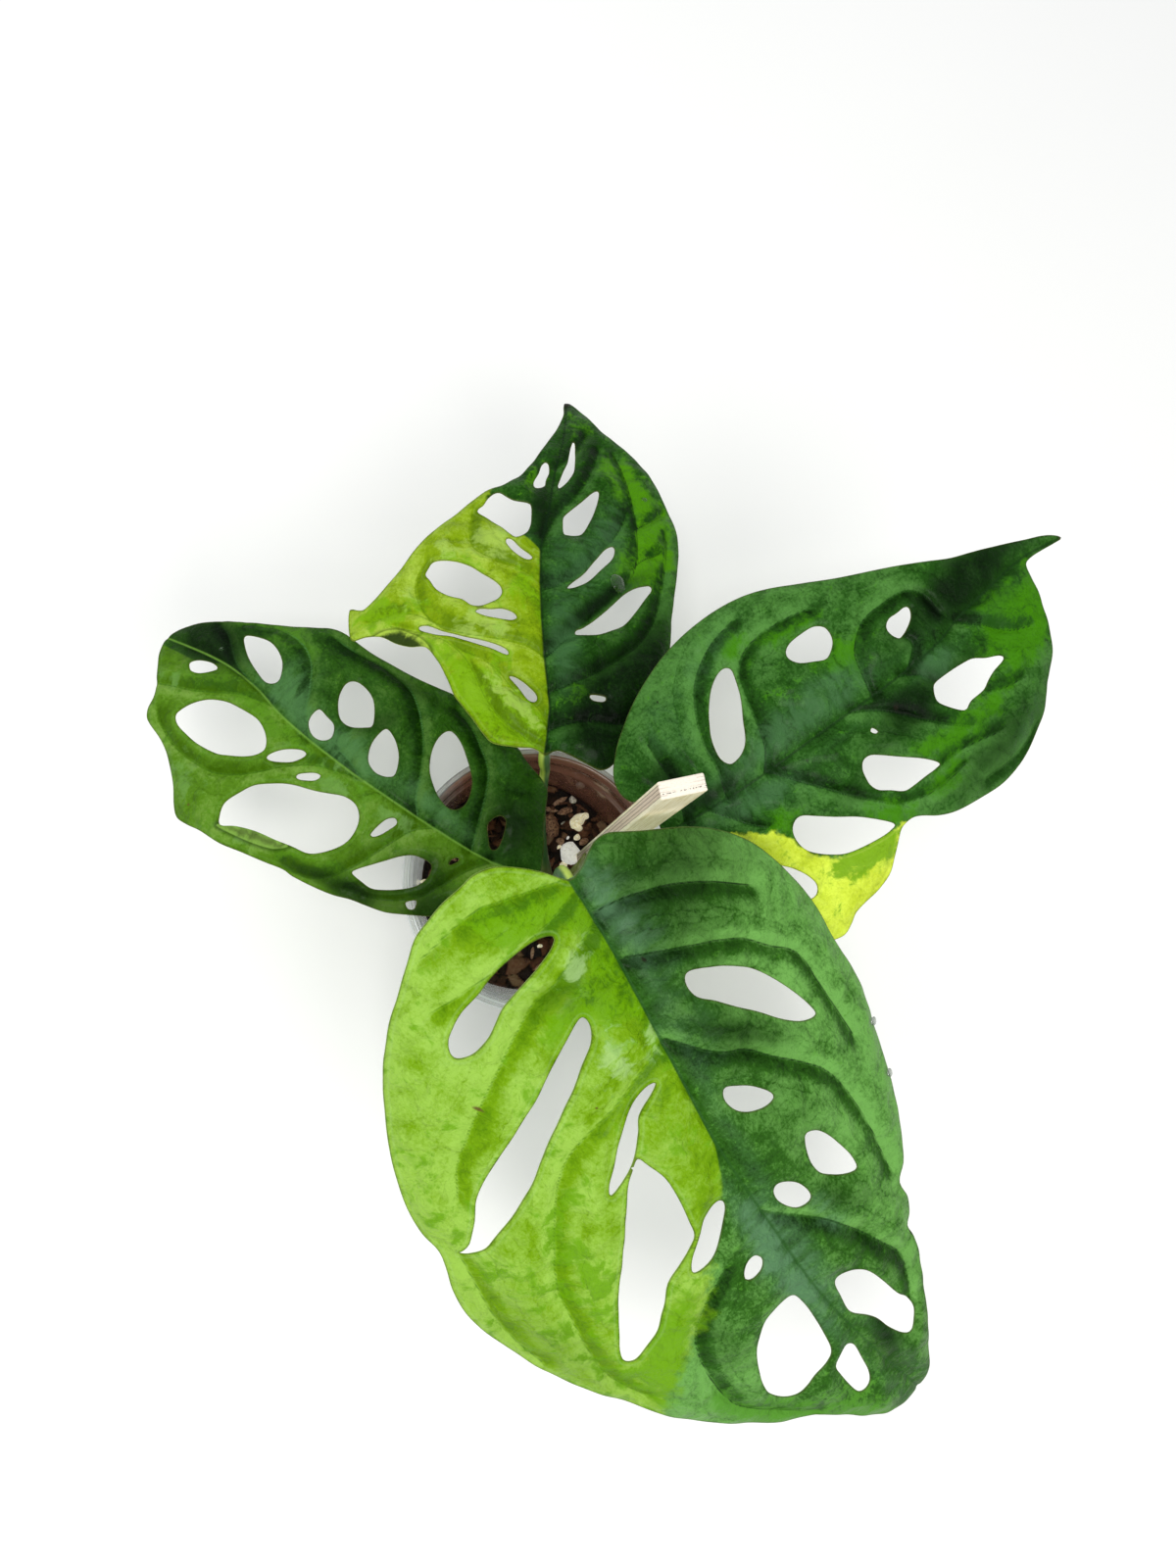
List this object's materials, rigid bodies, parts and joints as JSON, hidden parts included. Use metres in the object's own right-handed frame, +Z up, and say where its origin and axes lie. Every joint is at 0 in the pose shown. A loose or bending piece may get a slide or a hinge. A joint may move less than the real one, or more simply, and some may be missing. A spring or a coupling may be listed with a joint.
{
  "type": "potted half moon swiss cheese vine",
  "caption": "Potted half moon swiss cheese vine: variegated, perforated leaves on slender petioles, in a clear nursery pot of chunky mix with a flat plywood stake.",
  "frame": {"origin": "centre of the pot's flat underside, on the surface it stands on", "axes": "+Z up along the pot's axis; -Y towards the side where the largest leaf hangs, +X to the right seen from there"},
  "size_m": [0.2937, 0.3453, 0.199],
  "materials": {
    "clear_plastic": "clear, glossy, faintly hazy",
    "potting_mix": "damp bark, coir and pumice lumps",
    "plywood": "raw birch plywood with open ply edges",
    "stem_skin": "smooth, satin, green with brown node scars",
    "leaf_half_moon": "waxy satin, one half lime and the other deep green",
    "leaf_left_green": "waxy satin, mid green with a lighter half",
    "leaf_dark_green": "waxy satin, deep green with lime patches"
  },
  "bodies": {
    "root": {"pot": "clear_plastic", "potting_mix": "potting_mix", "stake": "plywood", "stem": "stem_skin", "leaf_front": "leaf_half_moon", "leaf_left": "leaf_left_green", "leaf_back": "leaf_half_moon", "leaf_right": "leaf_dark_green"}
  },
  "joints": []
}
